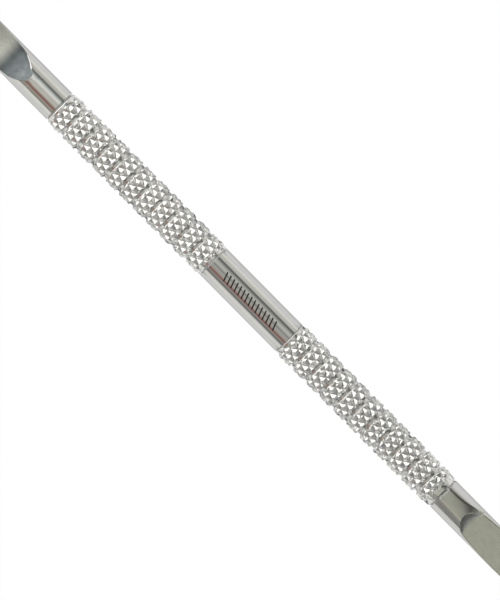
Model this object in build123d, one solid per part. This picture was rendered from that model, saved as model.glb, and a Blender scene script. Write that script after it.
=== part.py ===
"""Double-ended cuticle pusher: a spoon-shaped pusher tip and a flat scraper tip on a slim round handle.

Frame: the origin is the middle of the tool's axis. +X runs along the tool to the scraper tip, the
pusher tip is at -X, and the ground faces of both blades look towards +Z. Millimetres.
"""
from build123d import *
import os

# Overall
TOTAL_LENGTH = 134.0
HALF_LENGTH = TOTAL_LENGTH / 2

# Centre barrel: the plain polished band between the two grips
BARREL_RADIUS = 2.82
BARREL_HALF_LENGTH = 8.13
BARREL_EDGE_CHAMFER = 0.10

# Grips: knurled sleeves, cut into lands by narrow plain rings
GRIP_END = 40.75
KNURL_CREST_RADIUS = 3.05
RING_RADIUS = 2.70
RING_WIDTH = 0.40
LAND_CHAMFER = 0.15
INNER_COLLAR_WIDTH = 0.45
INNER_COLLAR_RADIUS = 2.80
OUTER_COLLAR_WIDTH = 0.45
OUTER_COLLAR_RADIUS = 2.92
COLLAR_CHAMFER = 0.25
FIRST_RING = 11.41
NARROW_PITCH = 2.85
NARROW_PITCHES = 7
WIDE_PITCH = 3.17
WIDE_PITCHES = 2

# Press-fit joints: a spigot or tang in each end of a grip's bore
BORE_RADIUS = 1.60
SPIGOT_LENGTH = 8.0
TANG_LENGTH = 8.0
LEAD_IN_CHAMFER = 0.30

# Necks: the round part of each tip, next to its grip. Past the neck the bar tapers slightly to its end
NECK_RADIUS = 2.75
NECK_CHAMFER = 0.20
END_RADIUS = 2.70

# Pusher tip: a trough ground along the bar, and a rounded back, both about one axis above the tip
TROUGH_AXIS_HEIGHT = 5.0
TROUGH_START = 46.8
TROUGH_HEEL = (50.0, 0.78)
TROUGH_HEEL_RADIUS = 5.0
TROUGH_LEVEL_START = 56.85
TROUGH_LEVEL_HEIGHT = -0.55
TROUGH_LEVEL_RADIUS = 40.0
PUSHER_BACK_START = 50.0
PUSHER_END_THICKNESS = 0.65
PUSHER_CORNER_RADIUS = 2.20

# Scraper tip: a shallow relief on the neck, leaning to +Y, then a hollow step and a flat blade
RELIEF_LEAN = 10.0
RELIEF_START_HEIGHT = 2.54
RELIEF_END_HEIGHT = 2.44
STEP_START = (45.3, 2.42)
STEP_END = 47.1
STEP_END_HEIGHT = 1.655
BLADE_SLOPE = 0.185
BLADE_FACE_HEIGHT = -0.30
BLADE_LEVEL_RADIUS = 17.0
SCRAPER_BACK_START = 51.0
SCRAPER_END_THICKNESS = 0.75
SCRAPER_CORNER_RADIUS = 0.80
BEVEL_SLOPE = 0.58
EDGE_THICKNESS = 0.15

# Clearance that cutting shapes have beyond the metal
OVERSHOOT = 2.0


def ring_positions():
    """Distances of the plain rings from the tool's middle."""
    narrow = [FIRST_RING + NARROW_PITCH * count for count in range(NARROW_PITCHES + 1)]
    wide = [narrow[-1] + WIDE_PITCH * count for count in range(1, WIDE_PITCHES + 1)]
    return narrow + wide


def turned(outline, axis_height=0.0):
    """A solid turned about a line parallel to X, from (x, z) points or edges of its half outline."""
    face = Plane.XZ * make_face(outline)
    return revolve(face, Axis((0, 0, axis_height), (1, 0, 0)), 360)


def slab(outline):
    """A solid of the given (x, z) outline, wider than the tool across Y."""
    face = Plane.XZ * make_face(outline)
    return extrude(face, KNURL_CREST_RADIUS + OVERSHOOT, both=True)


def centre_barrel():
    """Plain polished band with a spigot at each end."""
    shoulder = BARREL_HALF_LENGTH - BARREL_EDGE_CHAMFER
    spigot_end = BARREL_HALF_LENGTH + SPIGOT_LENGTH
    half = [
        (BARREL_HALF_LENGTH, BARREL_RADIUS - BARREL_EDGE_CHAMFER),
        (BARREL_HALF_LENGTH, BORE_RADIUS),
        (spigot_end - LEAD_IN_CHAMFER, BORE_RADIUS),
        (spigot_end, BORE_RADIUS - LEAD_IN_CHAMFER),
        (spigot_end, 0),
    ]
    right = [(shoulder, BARREL_RADIUS)] + half
    left = [(-x, z) for x, z in reversed(right)]
    return turned(Polyline(*left, *right, close=True))


def land(start, end, start_radius=RING_RADIUS, end_radius=RING_RADIUS):
    """Outline of one knurled land, which rises from one radius and falls to another."""
    return [
        (start, start_radius),
        (start + LAND_CHAMFER, KNURL_CREST_RADIUS),
        (end - LAND_CHAMFER, KNURL_CREST_RADIUS),
        (end, end_radius),
    ]


def grip():
    """Knurled sleeve on the +X side, bored right through, with the knurl's crests as its lands."""
    inner_collar_end = BARREL_HALF_LENGTH + INNER_COLLAR_WIDTH
    outer_collar_end = GRIP_END - COLLAR_CHAMFER
    outer_collar_start = outer_collar_end - OUTER_COLLAR_WIDTH
    starts = [inner_collar_end] + [ring + RING_WIDTH / 2 for ring in ring_positions()]
    ends = [ring - RING_WIDTH / 2 for ring in ring_positions()] + [outer_collar_start]
    start_radii = [INNER_COLLAR_RADIUS] + [RING_RADIUS] * len(ring_positions())
    end_radii = [RING_RADIUS] * len(ring_positions()) + [OUTER_COLLAR_RADIUS]
    outer = [(BARREL_HALF_LENGTH, BORE_RADIUS), (BARREL_HALF_LENGTH, INNER_COLLAR_RADIUS)]
    for outline in map(land, starts, ends, start_radii, end_radii):
        outer += outline
    outer += [
        (outer_collar_end, OUTER_COLLAR_RADIUS),
        (GRIP_END, OUTER_COLLAR_RADIUS - COLLAR_CHAMFER),
        (GRIP_END, BORE_RADIUS),
    ]
    return turned(Polyline(*outer, close=True))


def tip_blank(neck_end, corner_radius):
    """Round bar with a tang, before its blade is ground, with the corners of its end rounded in plan."""
    tang_start = GRIP_END - TANG_LENGTH
    outline = [
        (tang_start, 0),
        (tang_start, BORE_RADIUS - LEAD_IN_CHAMFER),
        (tang_start + LEAD_IN_CHAMFER, BORE_RADIUS),
        (GRIP_END, BORE_RADIUS),
        (GRIP_END, NECK_RADIUS - NECK_CHAMFER),
        (GRIP_END + NECK_CHAMFER, NECK_RADIUS),
        (neck_end, NECK_RADIUS),
        (HALF_LENGTH, END_RADIUS),
        (HALF_LENGTH, 0),
    ]
    bar = turned(Polyline(*outline, close=True))
    plan = Pos(X=HALF_LENGTH / 2) * Rectangle(HALF_LENGTH, 2 * NECK_RADIUS)
    plan = fillet(plan.vertices().group_by(Axis.X)[-1], corner_radius)
    return bar & extrude(plan, NECK_RADIUS + OVERSHOOT, both=True)


def pusher_tip():
    """Spoon blade with its neck and tang, built on the +X side and mirrored to -X."""
    top = TROUGH_AXIS_HEIGHT
    past_end = HALF_LENGTH + OVERSHOOT
    floor = FilletPolyline(
        (TROUGH_START, NECK_RADIUS),
        TROUGH_HEEL,
        (TROUGH_LEVEL_START, TROUGH_LEVEL_HEIGHT),
        (past_end, TROUGH_LEVEL_HEIGHT),
        radius=[TROUGH_HEEL_RADIUS, TROUGH_LEVEL_RADIUS],
    )
    trough_sides = Polyline(
        (past_end, TROUGH_LEVEL_HEIGHT),
        (past_end, top),
        (TROUGH_START, top),
        (TROUGH_START, NECK_RADIUS),
    )
    trough = turned(floor + trough_sides, top)
    end_height = TROUGH_LEVEL_HEIGHT - PUSHER_END_THICKNESS
    back = TangentArc((PUSHER_BACK_START, -NECK_RADIUS), (HALF_LENGTH, end_height), tangent=(1, 0))
    back_sides = Polyline(
        (HALF_LENGTH, end_height),
        (HALF_LENGTH, top),
        (0, top),
        (0, -NECK_RADIUS),
        (PUSHER_BACK_START, -NECK_RADIUS),
    )
    envelope = turned(back + back_sides, top)
    return mirror((tip_blank(TROUGH_START, PUSHER_CORNER_RADIUS) & envelope) - trough, Plane.YZ)


def scraper_tip():
    """Flat blade with its relieved neck and its tang, at +X."""
    high = NECK_RADIUS + OVERSHOOT
    low = -high
    past_end = HALF_LENGTH + OVERSHOOT
    relief_cut = Rot(X=-RELIEF_LEAN) * slab(Polyline(
        (GRIP_END, RELIEF_START_HEIGHT),
        (STEP_END, RELIEF_END_HEIGHT),
        (STEP_END, high),
        (GRIP_END, high),
        close=True,
    ))
    step = TangentArc((STEP_END, STEP_END_HEIGHT), STEP_START, tangent=(-1, BLADE_SLOPE))
    level_start = STEP_END + (STEP_END_HEIGHT - BLADE_FACE_HEIGHT) / BLADE_SLOPE
    face = FilletPolyline(
        (STEP_END, STEP_END_HEIGHT),
        (level_start, BLADE_FACE_HEIGHT),
        (past_end, BLADE_FACE_HEIGHT),
        radius=BLADE_LEVEL_RADIUS,
    )
    upper_sides = Polyline(
        (past_end, BLADE_FACE_HEIGHT),
        (past_end, high),
        (STEP_START[0], high),
        STEP_START,
    )
    face_cut = slab(step + face + upper_sides)
    end_height = BLADE_FACE_HEIGHT - SCRAPER_END_THICKNESS
    back = TangentArc((SCRAPER_BACK_START, -NECK_RADIUS), (HALF_LENGTH, end_height), tangent=(1, 0))
    lower_sides = Polyline(
        (HALF_LENGTH, end_height),
        (HALF_LENGTH, low),
        (SCRAPER_BACK_START, low),
        (SCRAPER_BACK_START, -NECK_RADIUS),
    )
    lower_cut = slab(back + lower_sides)
    edge_height = BLADE_FACE_HEIGHT - EDGE_THICKNESS
    bevel_cut = slab(Polyline(
        (HALF_LENGTH, edge_height),
        (HALF_LENGTH, low),
        (HALF_LENGTH - (edge_height - low) / BEVEL_SLOPE, low),
        close=True,
    ))
    return tip_blank(STEP_START[0], SCRAPER_CORNER_RADIUS) - relief_cut - face_cut - lower_cut - bevel_cut


PARTS = {
    "pusher_tip": pusher_tip(),
    "front_grip": mirror(grip(), Plane.YZ),
    "centre_barrel": centre_barrel(),
    "rear_grip": grip(),
    "scraper_tip": scraper_tip(),
}

os.makedirs("parts", exist_ok=True)
for name, shape in PARTS.items():
    export_step(shape, f"parts/{name}.step")
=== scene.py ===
"""Looks of a double-ended cuticle pusher: knurled grips, polished band and ground blades.

The CAD frame is loaded as it is, and each of its five nodes is stood for by a finer mesh of the same size.
Lengths in the settings are in metres. Inside the shape functions they are in millimetres, and a distance
along the tool is measured from its middle, so both ends are made the same way round and then turned.
"""
import math

import bmesh
import bpy
from mathutils import Matrix, Vector


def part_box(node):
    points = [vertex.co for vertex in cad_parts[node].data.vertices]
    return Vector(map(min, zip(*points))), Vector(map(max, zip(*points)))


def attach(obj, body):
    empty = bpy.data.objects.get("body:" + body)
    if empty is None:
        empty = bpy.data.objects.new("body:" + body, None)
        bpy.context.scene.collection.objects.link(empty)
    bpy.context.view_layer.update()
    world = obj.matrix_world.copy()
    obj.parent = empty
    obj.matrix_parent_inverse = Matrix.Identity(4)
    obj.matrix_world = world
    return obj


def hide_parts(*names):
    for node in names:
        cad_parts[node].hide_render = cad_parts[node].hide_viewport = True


bl_info = {
    "name": "Cuticle pusher",
    "version": (1, 0, 0),
    "blender": (4, 5, 0),
    "location": "3D View > Sidebar > Cuticle pusher",
    "description": "Makes the grips, barrel, blades and studio of a double-ended cuticle pusher",
    "category": "Object",
}

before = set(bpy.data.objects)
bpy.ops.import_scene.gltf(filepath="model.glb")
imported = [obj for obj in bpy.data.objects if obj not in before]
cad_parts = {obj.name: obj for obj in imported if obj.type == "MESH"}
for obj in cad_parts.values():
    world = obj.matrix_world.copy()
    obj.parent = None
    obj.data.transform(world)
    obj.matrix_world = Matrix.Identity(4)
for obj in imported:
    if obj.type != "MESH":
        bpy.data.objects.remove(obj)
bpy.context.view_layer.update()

MM = 0.001
BODY = "root"
GROUND = "ground"


def extent(node, corner, axis):
    """One coordinate of a CAD node's box, in millimetres. Corner 0 is the lowest, 1 the highest."""
    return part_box(node)[corner][axis] / MM


# Sizes that the frame gives
TOOL_END = extent("scraper_tip", 1, 0)
GRIP_START = extent("rear_grip", 0, 0)
GRIP_END = extent("rear_grip", 1, 0)
CREST_RADIUS = extent("rear_grip", 1, 2)
BARREL_RADIUS = extent("centre_barrel", 1, 2)
SPIGOT_END = extent("centre_barrel", 1, 0)
NECK_RADIUS = extent("pusher_tip", 1, 2)
TANG_START = extent("scraper_tip", 0, 0)

# Joints hidden inside the grips
BORE_RADIUS = 1.60
LEAD_IN = 0.30

# Collars and shoulders
RING_RADIUS = 2.66
INNER_COLLAR_RADIUS = 2.80
COLLAR_RADIUS = 2.83
COLLAR_CHAMFER = 0.25
BARREL_CHAMFER = 0.10
NECK_CHAMFER = 0.20

# Blades
END_RADIUS = 2.70
TROUGH_AXIS_HEIGHT = 5.0
TROUGH_START = 46.8
TROUGH_CORNERS = [(TROUGH_START, 2.75), (50.0, 0.78), (56.85, -0.55), (70.0, -0.55)]
TROUGH_RADII = [5.0, 40.0]
PUSHER_BACK_START = 50.0
PUSHER_END_THICKNESS = 0.65
PUSHER_CORNER_RADIUS = 2.20
RELIEF_LEAN = math.radians(8.0)
RELIEF_HEIGHT = 2.58
RELIEF_DROP = 0.0024
RELIEF_DROP_REACH = 2.6
RELIEF_CROWN_RADIUS = 12.0
STEP_START = 45.35
STEP_HEIGHT = 0.42
STEP_END = 47.1
STEP_END_HEIGHT = 1.655
BLADE_SLOPE = 0.185
BLADE_FACE_HEIGHT = -0.30
BLADE_LEVEL_RADIUS = 17.0
SCRAPER_BACK_START = 51.0
SCRAPER_END_THICKNESS = 0.75
SCRAPER_CORNER_RADIUS = 0.80
BEVEL_SLOPE = 0.58
EDGE_THICKNESS = 0.15


# Settings

def length_setting(name, description, millimetres):
    """A length, given in millimetres and kept in metres."""
    return bpy.props.FloatProperty(
        name=name, description=description, default=millimetres * MM, unit="LENGTH")


def count_setting(name, description, default, low=0, high=32):
    """A whole number."""
    return bpy.props.IntProperty(name=name, description=description, default=default, min=low, max=high)


def share_setting(name, description, default):
    """A share, from nothing to all."""
    return bpy.props.FloatProperty(name=name, description=description, default=default, subtype="FACTOR")


def angle_setting(name, description, degrees):
    """An angle, given in degrees and kept in radians."""
    return bpy.props.FloatProperty(
        name=name, description=description, default=math.radians(degrees), subtype="ANGLE")


def colour_setting(name, description, default):
    """A colour."""
    return bpy.props.FloatVectorProperty(
        name=name, description=description, default=default, size=3, subtype="COLOR")


class KnurlSettings(bpy.types.PropertyGroup):
    """Sizes of the diamond knurl and of the rings that cut it into segments."""

    diamonds_around: count_setting("Diamonds around", "Number of diamonds round the grip", 12, 8)
    diamond_length: length_setting("Diamond length", "Length of one diamond along the grip", 1.99)
    depth: length_setting("Depth", "Depth of the knurl from its crests to its grooves", 0.34)
    points_across: count_setting(
        "Points across a diamond", "Mesh points along each side of a diamond", 13, 4, 16)
    front_flat: share_setting(
        "Front crest flat", "Share of a diamond of the front grip that its worn crest takes", 0.14)
    rear_flat: share_setting(
        "Rear crest flat", "Share of a diamond of the rear grip that its worn crest takes", 0.20)
    ring_width: length_setting("Ring width", "Width of the plain rings between the knurled segments", 0.46)
    first_ring: length_setting("First ring", "Distance of the first ring from the middle of the tool", 11.41)
    narrow_pitch: length_setting("Inner ring pitch", "Distance between the rings of the inner segments", 2.85)
    narrow_count: count_setting("Inner ring gaps", "Number of ring gaps that have the inner pitch", 7)
    wide_pitch: length_setting("Outer ring pitch", "Distance between the rings of the outer segments", 3.17)
    wide_count: count_setting("Outer ring gaps", "Number of ring gaps that have the outer pitch", 2)
    inner_collar: length_setting("Inner collar", "Width of the plain collar next to the centre band", 0.45)
    outer_collar: length_setting("Outer collar", "Width of the plain collar next to a neck", 0.35)
    front_run_out: length_setting(
        "Front run-out", "Length over which the front grip's knurl fades into its outer collar", 0.45)
    rear_run_out: length_setting(
        "Rear run-out", "Length over which the rear grip's knurl fades into its outer collar", 1.30)


class BladeSettings(bpy.types.PropertyGroup):
    """Edges of the two ground tips."""

    spoon_edge: length_setting("Pusher edge", "Size of the rounded edges of the pusher's blade", 0.16)
    scraper_edge: length_setting(
        "Scraper edge", "Size of the rounded edges of the scraper's neck, where it is largest", 0.26)
    step_curve: length_setting(
        "Step curve", "Radius in plan of the curved step where the scraper's blade starts", 2.3)


class FinishSettings(bpy.types.PropertyGroup):
    """Colours of the steel, and of the painted shade at the start of the pusher's trough."""

    polished_colour: colour_setting(
        "Polished steel", "Colour of the polished band, necks and collars", (0.62, 0.615, 0.60))
    ground_colour: colour_setting(
        "Ground steel", "Colour of the ground faces of the blades", (0.66, 0.66, 0.60))
    # Painted shade: the start of the pusher's trough is coloured dark blue-grey in place of a dark
    # reflection.
    scoop_shade_colour: colour_setting(
        "Scoop steel", "Colour of the duller, bluish metal at the start of the pusher's trough",
        (0.145, 0.163, 0.168))
    # Painted shade, lighter: where the pusher's trough runs out into its neck.
    lip_shade_colour: colour_setting(
        "Lip steel", "Colour of the metal where the pusher's trough runs out into its neck",
        (0.215, 0.238, 0.242))
    etch_colour: colour_setting(
        "Etched mark", "Colour of the dark marks etched on the centre band", (0.035, 0.032, 0.03))


class StudioSettings(bpy.types.PropertyGroup):
    """Camera and floor."""

    turn: angle_setting("Tool angle", "Angle of the tool below the horizontal, as the camera sees it", 45.27)
    roll: angle_setting(
        "Camera lean", "How far the camera leans over to the side of the tool, about its length", 4.5)
    view_height: length_setting("View height", "Height of the picture at the tool", 90.1)
    distance: length_setting("Camera distance", "Distance from the camera to the tool", 600)
    floor_size: length_setting("Floor size", "Width of the round floor", 3000)


# Node helpers

class Value:
    """One output in a node tree. Arithmetic with it adds Math nodes to that tree."""

    def __init__(self, tree, socket):
        self.tree = tree
        self.socket = socket

    def math(self, operation, *others):
        """A Math node of this value and others. Returns its output."""
        return math_node(self.tree, operation, self, *others)

    def times_plus(self, factor, extra):
        return self.math("MULTIPLY_ADD", factor, extra)

    def __add__(self, other):
        return self.math("ADD", other)

    def __sub__(self, other):
        return self.math("SUBTRACT", other)

    def __rsub__(self, other):
        return math_node(self.tree, "SUBTRACT", other, self)

    def __mul__(self, other):
        return self.math("MULTIPLY", other)

    def __truediv__(self, other):
        return self.math("DIVIDE", other)


def feed(socket, value):
    """Links a value to an input, or sets the input's own number."""
    if isinstance(value, Value):
        value.tree.links.new(value.socket, socket)
    else:
        socket.default_value = value


def add_node(tree, kind, inputs=None, output=0, **settings):
    """New node with these settings, fed with values by input name or number. Returns one of its outputs."""
    node = tree.nodes.new(kind)
    for name, setting in settings.items():
        setattr(node, name, setting)
    for key, value in (inputs or {}).items():
        feed(node.inputs[key], value)
    return Value(tree, node.outputs[output])


def math_node(tree, operation, *values):
    """A Math node fed with values or numbers. Returns its output."""
    return add_node(tree, "ShaderNodeMath", dict(enumerate(values)), operation=operation)


def smooth_step(value, low, high):
    """0 below low, 1 above high, with a smooth rise between them."""
    return add_node(value.tree, "ShaderNodeMapRange", {"Value": value, "From Min": low, "From Max": high},
                    interpolation_type="SMOOTHSTEP")


def window(value, start, rise, fall, end):
    """1 between rise and fall, and 0 outside start to end."""
    return smooth_step(value, start, rise) * (1.0 - smooth_step(value, fall, end))


def blend_values(factor, first, second):
    """A number between two others."""
    return add_node(factor.tree, "ShaderNodeMix", {0: factor, 2: first, 3: second})


def blend_colours(tree, factor, first, second, blend_type="MIX"):
    """A colour between two others."""
    return add_node(tree, "ShaderNodeMix", {0: factor, 6: first, 7: second}, 2,
                    data_type="RGBA", blend_type=blend_type)


def split(vector):
    """X, Y and Z of a vector."""
    node = vector.tree.nodes.new("ShaderNodeSeparateXYZ")
    feed(node.inputs[0], vector)
    return [Value(vector.tree, socket) for socket in node.outputs]


def given_values(tree):
    """The inputs of a node group, by name."""
    return {socket.name: Value(tree, socket) for socket in tree.nodes.new("NodeGroupInput").outputs}


def round_axis(along, radius, angle):
    """Vector to a point at this radius and angle round the tool. The angle starts straight up."""
    return add_node(along.tree, "ShaderNodeCombineXYZ", {
        0: along, 1: radius * angle.math("SINE"), 2: radius * angle.math("COSINE")})


# Geometry Nodes: the knurled skin of a grip

KNURL_INPUTS = {
    "NodeSocketFloat": (
        "Start", "End", "Crest Radius", "Root Radius", "Ring Radius", "Inner Collar Radius",
        "Outer Collar Radius", "Diamond Length", "Crest Flat", "Ring Width", "First Ring",
        "Narrow Pitch", "Wide Pitch", "Inner Collar", "Outer Collar", "Outer Run Out"),
    "NodeSocketInt": ("Diamonds Around", "Points Across", "Narrow Count", "Wide Count"),
    "NodeSocketMaterial": ("Material",),
}
CREST_SOFTNESS = 0.03
VALLEY_SOFTNESS = 0.02
RING_SOFTNESS = 0.06 * MM
RING_WALL_SLOPE = 1.6
UNEVENNESS = 0.16 * MM
UNEVEN_FROM = 0.40
UNEVEN_SPOTS_PER_METRE = 1500.0
UNEVEN_DETAIL = 2.5
INNER_RUN_OUT = 0.20 * MM
WELD_DISTANCE = 0.002 * MM


def unevenness(along, radius, angle):
    """How far the metal falls short of a true knurl, with soft spots that never repeat."""
    noise = add_node(along.tree, "ShaderNodeTexNoise", {
        "Vector": round_axis(along, radius, angle), "Scale": UNEVEN_SPOTS_PER_METRE, "Detail": UNEVEN_DETAIL})
    return (noise - UNEVEN_FROM).math("MAXIMUM", 0.0) * UNEVENNESS


def knurl_tree():
    """Tree for a tube of diamond knurl along +X, cut by plain rings, with a plain collar at each end."""
    tree = bpy.data.node_groups.new("Diamond knurl", "GeometryNodeTree")
    for kind, names in KNURL_INPUTS.items():
        for name in names:
            tree.interface.new_socket(name, in_out="INPUT", socket_type=kind)
    tree.interface.new_socket("Mesh", in_out="OUTPUT", socket_type="NodeSocketGeometry")
    size = given_values(tree)

    # A lattice of rows along the tool and points round it, every other row moved round by half a point
    span = size["End"] - size["Start"]
    rows = (span / size["Diamond Length"] * size["Points Across"]).math("ROUND") * 2.0
    columns = size["Diamonds Around"] * size["Points Across"]
    grid = add_node(tree, "GeometryNodeMeshGrid", {
        "Size X": rows, "Size Y": columns, "Vertices X": rows + 1.0, "Vertices Y": columns + 1.0})
    place = split(add_node(tree, "GeometryNodeInputPosition"))
    row = rows.times_plus(0.5, place[0]).math("ROUND")
    column = columns.times_plus(0.5, place[1]).math("ROUND")
    column = row.math("MODULO", 2.0).times_plus(0.5, column)
    along = size["Start"] + span * (row / rows)
    angle = column / columns * (2 * math.pi)

    # Two crossing families of grooves make pyramids, whose crests are worn flat
    row_step = row * 0.5 / size["Points Across"]
    column_step = column / size["Points Across"]
    slopes = [column_step.times_plus(way, row_step).math("PINGPONG", 0.5) * 2.0 for way in (1.0, -1.0)]
    pyramid = slopes[0].math("SMOOTH_MIN", slopes[1], CREST_SOFTNESS)
    worn = (pyramid / (1.0 - size["Crest Flat"])).math("SMOOTH_MIN", 1.0, CREST_SOFTNESS)
    height = worn.math("SMOOTH_MAX", 0.0, VALLEY_SOFTNESS)
    knurl = height.times_plus(size["Crest Radius"] - size["Root Radius"], size["Root Radius"])
    knurl = knurl - unevenness(along, size["Crest Radius"], angle)

    # Rings: count them from the first, with one pitch for the inner gaps and another for the outer ones
    past_first = along - size["First Ring"]
    narrow_span = size["Narrow Pitch"] * size["Narrow Count"]
    is_wide = past_first.math("GREATER_THAN", narrow_span)
    pitch = blend_values(is_wide, size["Narrow Pitch"], size["Wide Pitch"])
    wide_number = size["Narrow Count"] + (past_first - narrow_span) / size["Wide Pitch"]
    number = blend_values(is_wide, past_first / size["Narrow Pitch"], wide_number)
    last = size["Narrow Count"] + size["Wide Count"]
    nearest = number.math("ROUND").math("MAXIMUM", 0.0).math("MINIMUM", last)
    offset = (number - nearest).math("ABSOLUTE") * pitch
    past_ring = (offset - size["Ring Width"] * 0.5).math("MAXIMUM", 0.0)
    ring = past_ring.times_plus(RING_WALL_SLOPE, size["Ring Radius"])
    cut = knurl.math("SMOOTH_MIN", ring, RING_SOFTNESS)

    # The knurl runs out into a plain collar at each end
    inner = size["Inner Collar"]
    outer = size["Outer Collar"]
    past_inner = smooth_step(along - size["Start"], inner, inner + INNER_RUN_OUT)
    past_outer = smooth_step(size["End"] - along, outer, outer + size["Outer Run Out"])
    radius = blend_values(past_inner, size["Inner Collar Radius"], cut)
    radius = blend_values(past_outer, size["Outer Collar Radius"], radius)

    mesh = add_node(tree, "GeometryNodeSetPosition", {
        "Geometry": grid, "Position": round_axis(along, radius, angle)})
    mesh = add_node(tree, "GeometryNodeTriangulate", {"Mesh": mesh})
    mesh = add_node(tree, "GeometryNodeMergeByDistance", {"Geometry": mesh, "Distance": WELD_DISTANCE})
    mesh = add_node(tree, "GeometryNodeRealizeInstances", {"Geometry": mesh})
    mesh = add_node(tree, "GeometryNodeSetMaterial", {"Geometry": mesh, "Material": size["Material"]})
    feed(tree.nodes.new("NodeGroupOutput").inputs[0], mesh)
    return tree


def linked(name, data):
    """New object in the scene."""
    made = bpy.data.objects.new(name, data)
    bpy.context.scene.collection.objects.link(made)
    return made


def grown_mesh(name, tree, values):
    """Plain mesh that a Geometry Nodes tree gives for these named inputs."""
    holder = linked(name, bpy.data.meshes.new(name))
    modifier = holder.modifiers.new(name, "NODES")
    modifier.node_group = tree
    identifiers = {item.name: item.identifier for item in tree.interface.items_tree if item.in_out == "INPUT"}
    for label, value in values.items():
        modifier[identifiers[label]] = value
    graph = bpy.context.evaluated_depsgraph_get()
    mesh = bpy.data.meshes.new_from_object(holder.evaluated_get(graph), depsgraph=graph)
    holder.modifiers.remove(modifier)
    bpy.data.objects.remove(holder)
    return mesh


# Mesh helpers

DOUBLES_DISTANCE = 0.0005 * MM
SLIVER_WIDTH = 0.0001 * MM


def add_piece(name, mesh, node, material, sharp_degrees):
    """Links a mesh as the piece that stands for a CAD node, on the same side of the tool as the node.

    The faces are shaded smooth, and edges sharper than the angle are kept crisp.
    """
    if extent(node, 1, 0) < 0:
        mesh.transform(Matrix.Rotation(math.pi, 4, "Z"))
    mesh.shade_smooth()
    mesh.set_sharp_from_angle(angle=math.radians(sharp_degrees))
    mesh.name = name
    mesh.materials.append(material)
    piece = linked(name, mesh)
    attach(piece, BODY)
    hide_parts(node)


def bridge(shape, loops):
    """Bands of faces between each loop of vertices and the next."""
    for near, far in zip(loops, loops[1:]):
        for index in range(len(near)):
            after = (index + 1) % len(near)
            shape.faces.new((near[index], near[after], far[after], far[index]))


def loft(name, rings):
    """Closed solid through rings of (x, y, z) points in millimetres, all with the same number of points.

    A fourth value of a point says how dull the metal is there, from polished (0) to ground (1).
    """
    shape = bmesh.new()
    ground = shape.verts.layers.float.new(GROUND)
    loops = []
    for ring in rings:
        loops.append([shape.verts.new(Vector(point[:3]) * MM) for point in ring])
        for vertex, point in zip(loops[-1], ring):
            vertex[ground] = point[3]
    bridge(shape, loops)
    shape.faces.new(loops[0])
    shape.faces.new(loops[-1])
    return finished(shape, name)


def finished(shape, name):
    """Turns a bmesh into a mesh with merged doubles and faces that point outwards."""
    bmesh.ops.remove_doubles(shape, verts=shape.verts, dist=DOUBLES_DISTANCE)
    bmesh.ops.dissolve_degenerate(shape, edges=shape.edges, dist=SLIVER_WIDTH)
    bmesh.ops.recalc_face_normals(shape, faces=shape.faces)
    mesh = bpy.data.meshes.new(name)
    shape.to_mesh(mesh)
    shape.free()
    return mesh


def circle(along, radius, count):
    """Ring of polished points round the tool's axis."""
    turns = [2 * math.pi * index / count for index in range(count)]
    return [(along, radius * math.cos(turn), radius * math.sin(turn), 0.0) for turn in turns]


# Grips

# Settings that both grips hand to the tree's inputs of the same name
SHARED_SETTINGS = (
    "diamonds_around", "diamond_length", "points_across", "ring_width", "first_ring", "narrow_pitch",
    "narrow_count", "wide_pitch", "wide_count", "inner_collar", "outer_collar")
GRIP_SHARP_DEGREES = 50
SAME_STATION = 0.01


def boundary_loop(shape, along):
    """Open edge points of a tube at one end, sorted round the axis."""
    rim = [v for v in shape.verts if v.is_boundary and abs(v.co.x / MM - along) < SAME_STATION]
    return sorted(rim, key=lambda v: math.atan2(v.co.z, v.co.y))


def close_sleeve(skin, skin_start, skin_end, name):
    """Adds end faces, chamfers and the bore to a knurled skin, which makes it a closed sleeve."""
    shape = bmesh.new()
    shape.from_mesh(skin)
    first = boundary_loop(shape, skin_start)
    last = boundary_loop(shape, skin_end)
    loops = [first]
    for along, radius in (
        (GRIP_START, INNER_COLLAR_RADIUS - BARREL_CHAMFER),
        (GRIP_START, BORE_RADIUS),
        (GRIP_END, BORE_RADIUS),
        (GRIP_END, COLLAR_RADIUS - COLLAR_CHAMFER),
    ):
        loops.append([
            shape.verts.new(Vector((along, *(Vector(v.co.yz).normalized() * radius))) * MM)
            for v in first
        ])
    bridge(shape, [*loops, last])
    return finished(shape, name)


def make_grip(name, node, crest_flat, run_out, knurl, tree, material):
    """One knurled sleeve, made on the +X side."""
    skin_start = GRIP_START + BARREL_CHAMFER
    skin_end = GRIP_END - COLLAR_CHAMFER
    values = {setting.replace("_", " ").title(): getattr(knurl, setting) for setting in SHARED_SETTINGS}
    skin = grown_mesh(name, tree, values | {
        "Start": skin_start * MM,
        "End": skin_end * MM,
        "Crest Radius": CREST_RADIUS * MM,
        "Root Radius": CREST_RADIUS * MM - knurl.depth,
        "Ring Radius": RING_RADIUS * MM,
        "Inner Collar Radius": INNER_COLLAR_RADIUS * MM,
        "Outer Collar Radius": COLLAR_RADIUS * MM,
        "Crest Flat": crest_flat,
        "Outer Run Out": run_out,
        "Material": material,
    })
    mesh = close_sleeve(skin, skin_start, skin_end, name)
    bpy.data.meshes.remove(skin)
    add_piece(name, mesh, node, material, GRIP_SHARP_DEGREES)


# Blades

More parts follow.
